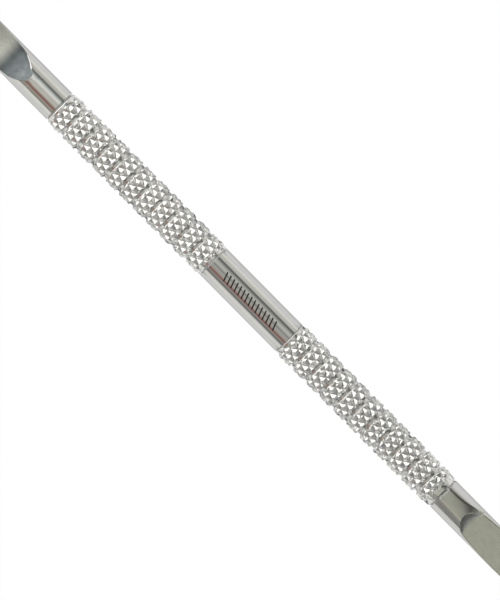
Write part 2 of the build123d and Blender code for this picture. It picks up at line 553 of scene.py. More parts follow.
def filleted_line(corners, radii):
    """Height along straight lines that tangent arcs join, as a function of the distance along the tool.

    Every bend turns upwards, as a grinding wheel leaves it.
    """
    bends = []
    for before, corner, after, radius in zip(corners, corners[1:], corners[2:], radii):
        arrive = math.atan2(corner[1] - before[1], corner[0] - before[0])
        leave = math.atan2(after[1] - corner[1], after[0] - corner[0])
        reach = radius * math.tan((leave - arrive) / 2)
        start = corner[0] - reach * math.cos(arrive)
        end = corner[0] + reach * math.cos(leave)
        start_height = corner[1] - reach * math.sin(arrive)
        centre = (start - radius * math.sin(arrive), start_height + radius * math.cos(arrive))
        bends.append((start, end, centre, radius))

    def height(along):
        for start, end, centre, radius in bends:
            if start <= along <= end:
                return centre[1] - math.sqrt(radius ** 2 - (along - centre[0]) ** 2)
        for near, far in zip(corners, corners[1:]):
            if along <= far[0]:
                share = (along - near[0]) / (far[0] - near[0])
                return near[1] + (far[1] - near[1]) * share
        return corners[-1][1]

    return height


def rising_arc(start, low, end, high):
    """Height of an arc that leaves (start, low) level and rises to (end, high)."""
    radius = ((end - start) ** 2 + (high - low) ** 2) / (2 * (high - low))

    def height(along):
        if along <= start:
            return low
        return low + radius - math.sqrt(radius ** 2 - (along - start) ** 2)

    return height


HALVINGS = 40


def solve(function, low, high):
    """Root of a rising function between two values, by halving. Returns an end if there is no root."""
    if function(low) > 0:
        return low
    if function(high) < 0:
        return high
    for _ in range(HALVINGS):
        middle = (low + high) / 2
        if function(middle) > 0:
            high = middle
        else:
            low = middle
    return (low + high) / 2


# Points of a section, where its edges wait, how far they are rounded, and the spacing of sections
FACE_POINTS = 22
SIDE_POINTS = 16
EDGE_POINTS = 4
PINCHED_EDGE = math.radians(88.0)
RESTING_EDGE = math.radians(62.0)
EDGE_RUN_UP = 1.5
NOTHING_CUT = 99.0
GROUND_DEPTH = 0.004
RELIEF_DULLNESS = 0.30
# A stretch of the pusher's rim on one side only, polished as a painted highlight: its start, its end and how
# far in from the round bar it reaches, in millimetres.
HIGHLIGHT_RIM_START = 47.7
HIGHLIGHT_RIM_END = 49.7
HIGHLIGHT_RIM_DEPTH = 0.16
WIDEST_BREAK = 0.4
DEEPEST_BREAK = 0.3
END_BREAK = 0.25
END_BREAK_SHARES = (0.0, 0.3, 0.65, 1.0)
SCOOP_LENGTH = 2.4
BEVEL_RUN_UP = 2.4
LAST_GAP = 0.08
BOW_START = 42.5
BOW_RISE = 2.6
BOW_FALL_START = STEP_START + 0.3
BOW_FALL = 4.0
STEP_CURVE_REACH = 0.9
SHORTEST_STEP = 0.5
PLAIN_SHARP_DEGREES = 38


def between(first, last, count):
    """Evenly spaced values from first up to, but not including, last."""
    return [first + (last - first) * index / count for index in range(count)]


def ease(value):
    """Smooth rise from 0 to 1 over a value from 0 to 1."""
    value = max(0.0, min(1.0, value))
    return value * value * (3 - 2 * value)


def soft_corner(before, corner, after):
    """Points of a small round corner from one point to another, without the last."""
    points = []
    for share in between(0.0, 1.0, EDGE_POINTS):
        near = [a + (b - a) * share for a, b in zip(before, corner)]
        far = [a + (b - a) * share for a, b in zip(corner, after)]
        points.append(tuple(a + (b - a) * share for a, b in zip(near, far)))
    return points


def resting_edge(along, cut_start):
    """Angle on the round bar at which an edge waits until its face starts to be ground."""
    return PINCHED_EDGE + (RESTING_EDGE - PINCHED_EDGE) * ease((cut_start - along) / EDGE_RUN_UP)


class Blade:
    """Shape of a ground tip, made on the +X side.

    A subclass gives where its neck ends, where its face and back start and the radius of its end corners.
    It also gives the heights of its face and its back, and stations, the distances of its sections past
    the shoulder.
    """

    def __init__(self, edge_break):
        self.edge_break = edge_break / MM

    def bow(self, along, across):
        """How far a point of a section sits past the section's middle, along the tool."""
        return 0.0

    def dullness(self, along, across, depth):
        """How dull a ground face is: 1 is as it left the wheel, and 0 is polished."""
        return 1.0

    def bar_radius(self, along):
        """Radius of the round bar before grinding. It tapers slightly past the neck."""
        if along <= self.neck_end:
            return NECK_RADIUS
        return NECK_RADIUS + (END_RADIUS - NECK_RADIUS) * (along - self.neck_end) / (TOOL_END - self.neck_end)

    def half_width(self, along):
        """Half width seen from above, with the end corners rounded."""
        run = along - (TOOL_END - self.corner_radius)
        if run <= 0:
            return NECK_RADIUS
        run = min(run, self.corner_radius)
        return NECK_RADIUS - self.corner_radius + math.sqrt(self.corner_radius ** 2 - run ** 2)

    def side(self, along, radius, inset, sign):
        """Half of a section, from its lowest point to its highest. The sign is that of the side's Y.

        Every half has the same number of points: where nothing is ground off yet, the edges wait on
        the round bar. The row of points may bow along the tool, so that it follows a curved step.
        """
        half_width = self.half_width(along) - inset

        def round_bar(across):
            return math.sqrt(max(radius ** 2 - across ** 2, 0.0))

        def face(across):
            return self.face(along + self.bow(along, across), sign * across)

        def back(across):
            return self.back(along + self.bow(along, across), sign * across)

        def upper(across):
            return min(face(across), round_bar(across)) - inset

        def lower(across):
            return max(back(across), -round_bar(across)) + inset

        def edge_angle(up, height, cut_start):
            def past(angle):
                return radius * math.sin(angle) - up * height(radius * math.cos(angle))
            return min(solve(past, -math.pi / 3, math.pi / 2), resting_edge(along, cut_start))

        def flank(angle):
            return min(radius * math.cos(angle), half_width), radius * math.sin(angle)

        top_edge, low_edge = (
            min(radius * math.cos(edge_angle(*edge)), half_width)
            for edge in ((1, face, self.face_start), (-1, back, self.back_start)))
        high = upper(top_edge)
        low = lower(low_edge)
        soft = min(self.edge_break, WIDEST_BREAK * top_edge, WIDEST_BREAK * low_edge,
                   DEEPEST_BREAK * (high - low))
        high_angle, deep_angle = (math.asin(max(-1.0, min(1.0, height / radius))) for height in (high, low))
        high_angle -= soft / radius
        deep_angle += soft / radius
        top_inner = top_edge - soft
        low_inner = low_edge - soft

        # Along the back, round the lower edge, up the flank, round the upper edge and along the face
        half = [(across, lower(across)) for across in between(0.0, low_inner, FACE_POINTS)]
        half += soft_corner((low_inner, lower(low_inner)), (low_edge, low), flank(deep_angle))
        half += [flank(angle) for angle in between(deep_angle, high_angle, SIDE_POINTS)]
        half += soft_corner(flank(high_angle), (top_edge, high), (top_inner, upper(top_inner)))
        half += [(across, upper(across)) for across in between(top_inner, 0.0, FACE_POINTS)]
        half.append((0.0, upper(0.0)))
        return [(sign * across, height) for across, height in half]

    def section(self, along, radius, inset):
        """Outline of the tip at one distance, as points with x, y, z and a mark for ground metal."""
        outline = self.side(along, radius, inset, 1) + self.side(along, radius, inset, -1)[-2:0:-1]
        points = []
        for across, height in outline:
            place = along + self.bow(along, across)
            depth = radius - math.hypot(across, height)
            dullness = self.dullness(place, across, depth) if depth > GROUND_DEPTH else 0.0
            points.append((place, across, height, dullness))
        return points

    def rings(self):
        """Outlines of all the sections, from the end of the tang to the end of the blade."""
        tang = [
            (TANG_START, BORE_RADIUS - LEAD_IN),
            (TANG_START + LEAD_IN, BORE_RADIUS),
            (GRIP_END - 0.5, BORE_RADIUS),
            (GRIP_END, BORE_RADIUS),
            (GRIP_END, NECK_RADIUS - NECK_CHAMFER),
        ]
        rings = [self.section(along, radius, 0.0) for along, radius in tang]
        rings += [self.section(along, self.bar_radius(along), 0.0) for along in self.stations()]
        thickness = self.face(TOOL_END, 0.0) - self.back(TOOL_END, 0.0)
        break_size = min(self.edge_break, END_BREAK * thickness)
        for share in END_BREAK_SHARES:
            turn = share * math.pi / 2
            along = TOOL_END - break_size * (1 - math.sin(turn))
            rings.append(self.section(along, self.bar_radius(along), break_size * (1 - math.cos(turn))))
        return rings


class Spoon(Blade):
    """Pusher blade: a trough along the bar, with a rounded back about the same axis."""

    neck_end = TROUGH_START
    face_start = TROUGH_START
    back_start = PUSHER_BACK_START
    corner_radius = PUSHER_CORNER_RADIUS

    def __init__(self, settings):
        super().__init__(settings.spoon_edge)
        self.floor = filleted_line(TROUGH_CORNERS, TROUGH_RADII)
        end_height = TROUGH_CORNERS[-1][1] - PUSHER_END_THICKNESS
        self.keel = rising_arc(PUSHER_BACK_START, -NECK_RADIUS, TOOL_END, end_height)

    def face(self, along, across):
        if along < TROUGH_START:
            return NOTHING_CUT
        radius = TROUGH_AXIS_HEIGHT - self.floor(along)
        if abs(across) >= radius:
            return NOTHING_CUT
        return TROUGH_AXIS_HEIGHT - math.sqrt(radius ** 2 - across ** 2)

    def dullness(self, along, across, depth):
        # Painted highlight, partly real polish: a stretch of the rim on one side only is made polished,
        # smoother and in the bright polished colour beside the trough's dark painted shade.
        on_highlight_rim = across < 0 and HIGHLIGHT_RIM_START < along < HIGHLIGHT_RIM_END and depth < HIGHLIGHT_RIM_DEPTH
        return 0.0 if on_highlight_rim else 1.0

    def back(self, along, across):
        radius = TROUGH_AXIS_HEIGHT - self.keel(along)
        return TROUGH_AXIS_HEIGHT - math.sqrt(radius ** 2 - across ** 2)

    def stations(self):
        neck = between(GRIP_END + NECK_CHAMFER, TROUGH_START, 24)
        scoop = [TROUGH_START + SCOOP_LENGTH * (step / 40) ** 2 for step in range(1, 40)]
        blade = between(TROUGH_START + SCOOP_LENGTH, TOOL_END - self.corner_radius, 48)
        return neck + scoop + blade + rounded_end(self.corner_radius, 22)


class Chisel(Blade):
    """Scraper blade: a shallow relief on the neck, a curved step and a flat face, with a bevelled back."""

    neck_end = STEP_START
    face_start = GRIP_END
    back_start = SCRAPER_BACK_START
    corner_radius = SCRAPER_CORNER_RADIUS

    def __init__(self, settings):
        super().__init__(settings.scraper_edge)
        self.step_curve = settings.step_curve / MM
        level_start = STEP_END + (STEP_END_HEIGHT - BLADE_FACE_HEIGHT) / BLADE_SLOPE
        corners = [
            (GRIP_END, STEP_END_HEIGHT + BLADE_SLOPE * (STEP_END - GRIP_END)),
            (level_start, BLADE_FACE_HEIGHT),
            (TOOL_END + 3, BLADE_FACE_HEIGHT),
        ]
        self.flat = filleted_line(corners, [BLADE_LEVEL_RADIUS])
        self.keel = rising_arc(
            SCRAPER_BACK_START, -NECK_RADIUS, TOOL_END, BLADE_FACE_HEIGHT - SCRAPER_END_THICKNESS)

    def curve(self, across):
        """How far the step's edge sits past its middle, along the tool."""
        reach = min(abs(across), STEP_CURVE_REACH * self.step_curve)
        return self.step_curve - math.sqrt(self.step_curve ** 2 - reach ** 2)

    def bow(self, along, across):
        rise = ease((along - BOW_START) / BOW_RISE)
        fall = ease((along - BOW_FALL_START) / BOW_FALL)
        return self.curve(across) * rise * (1 - fall)

    def dullness(self, along, across, depth):
        return RELIEF_DULLNESS if along < STEP_START + self.curve(across) else 1.0

    def face(self, along, across):
        drop_share = max(0.5 + across / RELIEF_DROP_REACH, 0.0)
        relief = RELIEF_HEIGHT - RELIEF_DROP * drop_share * max(along - GRIP_END, 0.0) ** 3
        relief = (relief - across * math.sin(RELIEF_LEAN)) / math.cos(RELIEF_LEAN)
        relief -= (across - relief * math.tan(RELIEF_LEAN)) ** 2 / (2 * RELIEF_CROWN_RADIUS)
        edge = STEP_START + self.curve(across)
        flat = self.flat(along)
        step_end = max(STEP_END, edge + SHORTEST_STEP)
        if along >= step_end:
            return flat
        if along <= edge:
            return relief
        past_edge = (along - edge) / (step_end - edge)
        return min(relief, flat + STEP_HEIGHT * (1 - past_edge) ** 2)

    def back(self, along, across):
        bevel = BLADE_FACE_HEIGHT - EDGE_THICKNESS - BEVEL_SLOPE * (TOOL_END - along)
        return max(self.keel(along), bevel)

    def stations(self):
        neck = between(GRIP_END + NECK_CHAMFER, STEP_START - 0.06, 34)
        edge = [STEP_START + offset for offset in (-0.06, -0.03, -0.01, 0.0, 0.01, 0.03, 0.06)]
        step = between(STEP_START + 0.10, STEP_END + 1.0, 40)
        blade = between(STEP_END + 1.0, TOOL_END - BEVEL_RUN_UP, 56)
        bevel_start = solve(
            lambda along: self.back(along, 0.0) - self.keel(along) - 1e-6, TOOL_END - 3.0, TOOL_END)
        bevel = between(TOOL_END - BEVEL_RUN_UP, bevel_start, 8)
        bevel += between(bevel_start, TOOL_END - self.corner_radius, 8)
        return neck + edge + step + blade + bevel + rounded_end(self.corner_radius, 14)


def rounded_end(corner_radius, count):
    """Distances of sections through a rounded end corner, closer together towards its tip."""
    return [
        TOOL_END - corner_radius * (1 - math.sin(turn)) - LAST_GAP * math.sin(turn)
        for turn in between(0.0, math.pi / 2, count)
    ]


def make_tip(name, node, blade, material):
    """One ground tip."""
    add_piece(name, loft(name, blade.rings()), node, material, PLAIN_SHARP_DEGREES)


# Centre band

BARREL_SIDES = 256


def make_barrel(name, node, material):
    """Polished band with a spigot at each end, turned from a half outline."""
    half = [
        (2.0, BARREL_RADIUS),
        (GRIP_START - BARREL_CHAMFER - 0.02, BARREL_RADIUS),
        (GRIP_START - BARREL_CHAMFER, BARREL_RADIUS),
        (GRIP_START - 0.4 * BARREL_CHAMFER, BARREL_RADIUS - 0.25 * BARREL_CHAMFER),
        (GRIP_START, BARREL_RADIUS - BARREL_CHAMFER),
        (GRIP_START, BORE_RADIUS),
        (SPIGOT_END - LEAD_IN, BORE_RADIUS),
        (SPIGOT_END, BORE_RADIUS - LEAD_IN),
    ]
    outline = [(-along, radius) for along, radius in reversed(half)] + half
    mesh = loft(name, [circle(along, radius, BARREL_SIDES) for along, radius in outline])
    add_piece(name, mesh, node, material, PLAIN_SHARP_DEGREES)


# Shader groups

def shader_group(name, inputs):
    """Empty shader node group with named inputs. Returns its tree, its inputs and its output."""
    tree = bpy.data.node_groups.new(name, "ShaderNodeTree")
    for label, default in inputs.items():
        socket = tree.interface.new_socket(label, in_out="INPUT", socket_type="NodeSocketFloat")
        socket.default_value = default
    tree.interface.new_socket("Value", in_out="OUTPUT", socket_type="NodeSocketFloat")
    return tree, given_values(tree), tree.nodes.new("NodeGroupOutput").inputs[0]


def object_point(tree):
    """Object coordinates."""
    return add_node(tree, "ShaderNodeTexCoord", output="Object")


def object_millimetres(tree, axis):
    """One object coordinate, in millimetres."""
    return split(object_point(tree))[axis] * (1 / MM)


def grain_group():
    """Noise that can be drawn out into lines along the tool or round it."""
    tree, given, result = shader_group(
        "Grain", {"Lines Along": 1.0, "Lines Across": 1.0, "Detail": 3.0, "Contrast": 1.0})
    counts = [given[label] * (1 / MM) for label in ("Lines Along", "Lines Across", "Lines Across")]
    place = split(object_point(tree))
    point = add_node(tree, "ShaderNodeCombineXYZ", {axis: place[axis] * counts[axis] for axis in range(3)})
    noise = add_node(tree, "ShaderNodeTexNoise", {"Vector": point, "Detail": given["Detail"], "Scale": 1.0})
    spread = (noise - 0.5).times_plus(given["Contrast"], 0.5)
    feed(result, spread.math("MAXIMUM", 0.0).math("MINIMUM", 1.0))
    return tree


def axis_band_group():
    """0 nearer the tool's axis than one radius and 1 beyond another, in millimetres."""
    tree, given, result = shader_group("Distance from axis", {"Inner Radius": 2.6, "Outer Radius": 2.7})
    across, up = split(object_point(tree))[1:]
    radius = (across * across + up * up).math("SQRT") * (1 / MM)
    feed(result, smooth_step(radius, given["Inner Radius"], given["Outer Radius"]))
    return tree


# Materials

# Grain of each kind of surface: lines per millimetre along and across the tool, detail and contrast
TURNING_LINES = (14.0, 0.15, 4.0, 2.0)
POLISH_CLOUD = (0.5, 0.5, 3.0, 1.5)
KNURL_SPECKS = (3.0, 3.0, 4.0, 2.0)
GRINDING_STREAKS = (0.35, 9.0, 4.0, 2.2)
GRINDING_BLOTCHES = (0.9, 1.3, 4.0, 1.8)

POLISH_TONES = (0.95, 1.04)
POLISH_ROUGHNESS = (0.045, 0.085)
ETCH_ROUGHNESS = 0.5
ETCH_DEPTH = 4.0
TURNING_DEPTH = 0.0004 * MM

# Painted light and shade of the knurl: its colour is lighter towards the crests and darker towards the
# grooves, between these radii in millimetres.
CREST_LIGHT_AND_GROOVE_SHADE_TONES = (1.02, 1.32)
KNURL_LIGHT_AND_SHADE_RADII = {"Inner Radius": 2.50, "Outer Radius": 2.95}
WORN_TONES = (0.9, 1.05)
KNURL_ROUGHNESS = (0.10, 0.20)
SPECK_DEPTH = 0.002 * MM

GROUND_TONES = (0.86, 1.06)
# Tones of the painted shade at the start of the pusher's trough and at its lip.
SCOOP_SHADE_TONES = (0.80, 1.15)
LIP_SHADE_TONES = (0.70, 1.20)
GROUND_ROUGHNESS = (0.22, 0.34)
SCOOP_ROUGHNESS = 0.42
NECK_ROUGHNESS = (0.05, 0.09)
STREAK_DEPTH = 0.0015 * MM
# Where the painted shade and rougher finish of the pusher's trough fade in, going from the blade towards the
# neck, and where that painted shade turns into the lip's, in millimetres along the tool.
SCOOP_SHADE_AND_ROUGHNESS_FADE = (-53.3, -50.9)
LIP_SHADE_FADE = (-49.9, -48.2)

HATCH_CENTRE = -0.08
HATCH_HEIGHT = 1.45
HATCH_STROKES = 15
HATCH_PITCH = 0.74
HATCH_STROKE = 0.24
HATCH_LEAN = 0.35
HATCH_END_BLUR = 0.03
HATCH_SIDE_BLUR = 0.04


def use_group(tree, group, inputs):
    """Output of a node group with these inputs."""
    return add_node(tree, "ShaderNodeGroup", inputs, node_tree=group)


def grained(tree, group, kind):
    """Grain of one kind of surface."""
    return use_group(tree, group, dict(zip(("Lines Along", "Lines Across", "Detail", "Contrast"), kind)))


def new_material(name, metallic=1.0):
    """New material, metal unless told otherwise, with its tree and the inputs of its Principled BSDF."""
    material = bpy.data.materials.new(name)
    material.use_nodes = True
    shader = material.node_tree.nodes["Principled BSDF"].inputs
    shader["Metallic"].default_value = metallic
    return material, material.node_tree, shader


def rough_range(value, low, high):
    """Roughness from low to high as the value goes from 0 to 1."""
    return value.times_plus(high - low, low)


def bump(height, distance):
    """Normal of a bump of this real height."""
    return add_node(height.tree, "ShaderNodeBump", {"Strength": 1.0, "Distance": distance, "Height": height})


def toned(colour, share):
    """A colour made lighter or darker, as RGBA."""
    return (*(channel * share for channel in colour), 1.0)


def mottled(factor, colour, tones):
    """A colour that runs from one tone of itself to another."""
    return blend_colours(factor.tree, factor, *(toned(colour, share) for share in tones))


def hatch_mask(tree):
    """1 on a short row of slanted strokes on the upper side of the centre band."""
    along, across, up = (object_millimetres(tree, axis) for axis in range(3))
    from_middle = (across - HATCH_CENTRE).math("ABSOLUTE")
    leaning = across.times_plus(HATCH_LEAN, along)
    phase = (leaning / HATCH_PITCH).math("PINGPONG", 0.5)
    edge = HATCH_STROKE / HATCH_PITCH / 2
    mask = smooth_step(HATCH_HEIGHT / 2 - from_middle, -HATCH_END_BLUR, HATCH_END_BLUR)
    mask = mask * leaning.math("ABSOLUTE").math("LESS_THAN", HATCH_STROKES / 2 * HATCH_PITCH)
    mask = mask * up.math("GREATER_THAN", 0.0)
    return mask * (1.0 - smooth_step(phase, edge - HATCH_SIDE_BLUR, edge + HATCH_SIDE_BLUR))


def polished_material(finish, grain):
    """Polished band, with fine turning lines and a row of etched strokes."""
    material, tree, shader = new_material("Polished steel")
    lines = grained(tree, grain, TURNING_LINES)
    etched = hatch_mask(tree)
    steel = mottled(grained(tree, grain, POLISH_CLOUD), finish.polished_colour, POLISH_TONES)
    feed(shader["Base Color"], blend_colours(tree, etched, steel, toned(finish.etch_colour, 1.0)))
    feed(shader["Roughness"], blend_values(etched, rough_range(lines, *POLISH_ROUGHNESS), ETCH_ROUGHNESS))
    feed(shader["Normal"], bump(etched.times_plus(-ETCH_DEPTH, lines), TURNING_DEPTH))
    return material


def knurl_material(finish, grain, axis_band):
    """Bright crests and darker grooves: painted light on the crests and painted shade in the grooves, with
    worn specks.
    """
    material, tree, shader = new_material("Knurled steel")
    specks = grained(tree, grain, KNURL_SPECKS)
    # Painted light on the crests and painted shade in the grooves, by distance from the axis.
    steel = mottled(use_group(tree, axis_band, KNURL_LIGHT_AND_SHADE_RADII), finish.polished_colour, CREST_LIGHT_AND_GROOVE_SHADE_TONES)
    worn = mottled(specks, (1.0, 1.0, 1.0), WORN_TONES)
    feed(shader["Base Color"], blend_colours(tree, 1.0, steel, worn, "MULTIPLY"))
    feed(shader["Roughness"], rough_range(specks, *KNURL_ROUGHNESS))
    feed(shader["Normal"], bump(specks, SPECK_DEPTH))
    return material


def pusher_mask(tree, fade):
    """0 on the pusher's blade and 1 nearer its neck, and 0 on the other tip."""
    along = object_millimetres(tree, 0)
    return smooth_step(along, *fade) * along.math("LESS_THAN", 0.0)


def tip_material(finish, grain):
    """Polished neck, and ground faces with streaks and soft blotches, with painted shade at the start of the
    pusher's trough.
    """
    material, tree, shader = new_material("Tip steel")
    polished = 1.0 - add_node(tree, "ShaderNodeAttribute", output="Fac", attribute_name=GROUND)
    streaks = grained(tree, grain, GRINDING_STREAKS)
    blotches = grained(tree, grain, GRINDING_BLOTCHES)
    # Painted shade: nearer the neck than the blade, the pusher's ground faces take the trough's dark painted
    # colours in place of a dark reflection, and a rougher finish.
    scoop = pusher_mask(tree, SCOOP_SHADE_AND_ROUGHNESS_FADE)
    scoop_painted_shade = mottled(blotches, finish.scoop_shade_colour, SCOOP_SHADE_TONES)
    lip_painted_shade = mottled(blotches, finish.lip_shade_colour, LIP_SHADE_TONES)
    trough = blend_colours(tree, pusher_mask(tree, LIP_SHADE_FADE), scoop_painted_shade, lip_painted_shade)
    # The ground faces' own colour, or on the pusher the trough's painted shade.
    ground = blend_colours(tree, scoop, mottled(blotches, finish.ground_colour, GROUND_TONES), trough)
    neck = mottled(blotches, finish.polished_colour, POLISH_TONES)
    feed(shader["Base Color"], blend_colours(tree, polished, ground, neck))
    ground_rough = blend_values(scoop, rough_range(streaks, *GROUND_ROUGHNESS), SCOOP_ROUGHNESS)
    neck_rough = rough_range(grained(tree, grain, TURNING_LINES), *NECK_ROUGHNESS)
    feed(shader["Roughness"], blend_values(polished, ground_rough, neck_rough))
    feed(shader["Normal"], bump(blend_values(polished, streaks, 0.5), STREAK_DEPTH))
    return material


# Studio

# Surroundings as seen round the tool from its middle, from the pusher's neck and from the scraper's neck:
# degrees from straight up towards +Y, then red, green and blue
MIDDLE_STRIPS = (
    (-92, 1.04, 1.04, 1.00), (-75, 0.98, 0.98, 0.96), (-68, 0.84, 0.84, 0.82), (-60, 0.22, 0.23, 0.22),
    (-55, 0.22, 0.23, 0.22), (-48, 0.40, 0.37, 0.36), (-42, 0.42, 0.36, 0.34), (-38, 0.36, 0.22, 0.20),
    (-32, 0.28, 0.14, 0.12), (-28, 0.42, 0.28, 0.25), (-24, 0.54, 0.46, 0.41), (-18, 0.50, 0.48, 0.45),
    (-9, 0.53, 0.53, 0.51), (-3, 0.46, 0.46, 0.44), (1, 0.31, 0.31, 0.30), (5, 0.40, 0.40, 0.38),
    (10, 0.58, 0.59, 0.56), (21, 0.70, 0.71, 0.67), (33, 0.44, 0.45, 0.43), (39, 0.30, 0.31, 0.29),
    (43, 0.18, 0.18, 0.17), (47, 0.14, 0.14, 0.13), (52, 0.42, 0.42, 0.40), (56, 0.72, 0.72, 0.68),
    (66, 0.74, 0.74, 0.69), (75, 0.82, 0.81, 0.76), (84, 1.04, 1.04, 0.98), (89, 1.14, 1.13, 1.07),
    (100, 0.93, 0.93, 0.88),
)
PUSHER_STRIPS = (
    (-92, 0.94, 0.94, 0.89), (-75, 1.06, 1.07, 1.00), (-68, 0.88, 0.90, 0.84), (-61, 0.36, 0.36, 0.32),
    (-57, 0.34, 0.34, 0.30), (-52, 0.46, 0.43, 0.38), (-47, 0.60, 0.51, 0.45), (-42, 0.38, 0.28, 0.24),
    (-37, 0.32, 0.18, 0.15), (-30, 0.37, 0.22, 0.19), (-25, 0.50, 0.42, 0.38), (-20, 0.68, 0.64, 0.58),
    (-14, 0.75, 0.75, 0.68), (0, 0.69, 0.70, 0.64), (5, 0.76, 0.77, 0.70), (10, 0.94, 0.94, 0.87),
    (17, 1.08, 1.09, 1.03), (22, 1.03, 1.05, 1.01), (27, 0.80, 0.84, 0.82), (31, 0.60, 0.66, 0.64),
    (37, 0.42, 0.47, 0.46), (42, 0.22, 0.25, 0.24), (47, 0.13, 0.14, 0.13), (52, 0.40, 0.41, 0.39),
    (56, 0.66, 0.66, 0.63), (66, 0.70, 0.69, 0.64), (73, 0.79, 0.79, 0.73), (84, 1.06, 1.06, 0.99),
    (89, 1.10, 1.09, 1.03), (100, 0.90, 0.90, 0.84),
)
SCRAPER_STRIPS = (
    (-92, 0.92, 0.92, 0.88), (-87, 0.72, 0.72, 0.69), (-82, 0.32, 0.32, 0.30), (-77, 0.27, 0.28, 0.26),
    (-63, 0.29, 0.29, 0.28), (-50, 0.38, 0.38, 0.36), (-40, 0.34, 0.35, 0.32), (-34, 0.38, 0.38, 0.34),
    (-29, 0.54, 0.54, 0.47), (-6, 0.58, 0.58, 0.49), (5, 0.52, 0.53, 0.45), (13, 0.44, 0.45, 0.38),
    (20, 0.38, 0.38, 0.34), (26, 0.22, 0.22, 0.20), (33, 0.09, 0.09, 0.08), (55, 0.09, 0.09, 0.08),
    (60, 0.20, 0.20, 0.18), (66, 0.54, 0.54, 0.50), (77, 0.66, 0.65, 0.62), (83, 0.76, 0.76, 0.72),
    (90, 0.96, 0.96, 0.92), (100, 0.92, 0.92, 0.88),
)

# Limits between the fields along the tool, in degrees from square to it, and their colours
PUSHER_VIEW = (2.6, 3.7)
SCRAPER_VIEW = (2.9, 3.9, 22.0, 30.0)
KEY_ALONG = (29.0, 34.0, 68.0, 78.0)
KEY_ROUND = (-86.0, -76.0, 78.0, 88.0)
KEY_COLOUR = (1.7, 1.68, 1.66)
FRONT_FIELD = (9.0, 16.0)
FRONT_FIELD_COLOUR = (0.42, 0.43, 0.41)
FAR_END = (28.0, 44.0)
FAR_END_COLOUR = (0.40, 0.41, 0.42)
REAR_END = (42.0, 54.0)
REAR_END_COLOUR = (0.10, 0.105, 0.11)
FRONT_END = (70.0, 80.0)
FRONT_END_COLOUR = (0.44, 0.47, 0.48)
BACKDROP_BRIGHTNESS = 0.985


def strip_ramp(round_tool, strips):
    """Colour of the lengthwise strips at an angle round the tool, in degrees."""
    ramp = round_tool.tree.nodes.new("ShaderNodeValToRGB")
    elements = ramp.color_ramp.elements
    elements.remove(elements[-1])
    for index, (degrees, *colour) in enumerate(strips):
        position = (degrees + 180) / 360
        element = elements[0] if index == 0 else elements.new(position)
        element.position = position
        element.color = (*colour, 1.0)
    feed(ramp.inputs[0], round_tool.times_plus(1 / 360, 0.5))
    return Value(round_tool.tree, ramp.outputs[0])


def seen_by_camera(tree):
    """1 for what the camera sees directly, and 0 for what the steel reflects."""
    return add_node(tree, "ShaderNodeLightPath", output="Is Camera Ray")


def make_sky():
    """Soft studio surroundings: strips along the tool, a key lamp over its -X end and darker ends."""
    scene = bpy.context.scene
    scene.view_settings.view_transform = "Standard"
    scene.world = bpy.data.worlds.new("Studio")
    scene.world.use_nodes = True
    tree = scene.world.node_tree
    direction = split(add_node(tree, "ShaderNodeTexCoord", output="Generated"))
    round_tool = direction[1].math("ARCTAN2", direction[2]).math("DEGREES")
    to_rear = direction[0].math("ARCSINE").math("DEGREES")
    to_front = to_rear * -1.0
    colour = strip_ramp(round_tool, MIDDLE_STRIPS)
    for share, other in (
        (smooth_step(to_front, *PUSHER_VIEW), strip_ramp(round_tool, PUSHER_STRIPS)),
        (window(to_rear, *SCRAPER_VIEW), strip_ramp(round_tool, SCRAPER_STRIPS)),
        (smooth_step(to_front, *FRONT_FIELD), toned(FRONT_FIELD_COLOUR, 1.0)),
        (window(to_front, *KEY_ALONG) * window(round_tool, *KEY_ROUND), toned(KEY_COLOUR, 1.0)),
        (smooth_step(to_rear, *FAR_END), toned(FAR_END_COLOUR, 1.0)),
        (smooth_step(to_rear, *REAR_END), toned(REAR_END_COLOUR, 1.0)),
        (smooth_step(to_front, *FRONT_END), toned(FRONT_END_COLOUR, 1.0)),
    ):
        colour = blend_colours(tree, share, colour, other)
    backdrop = toned((BACKDROP_BRIGHTNESS,) * 3, 1.0)
    background = tree.nodes["Background"].inputs
    feed(background["Color"], blend_colours(tree, seen_by_camera(tree), colour, backdrop))
    background["Strength"].default_value = 1.0


FLOOR_BRIGHTNESS = 0.985
FLOOR_COLOUR = (0.02, 0.02, 0.02, 1.0)
FLOOR_CORNERS = 96
FLOOR_IN_STEEL = (0.66, 0.90)
FLOOR_SHADE_REACH = (4.5, 9.0)
# Dark and bright spots in the floor under the grips, seen only by the steel: painted shade and painted glow.
FLOOR_SPOTS_PER_METRE = 480.0
FLOOR_SPOT_RANGE = (0.40, 0.60)
FLOOR_SPOT_SHADE_AND_GLOW = (0.05, 1.10)
FLOOR_UNDER_GRIP = (GRIP_START - 0.5, GRIP_START + 0.5, GRIP_END - 0.5, GRIP_END + 0.5)


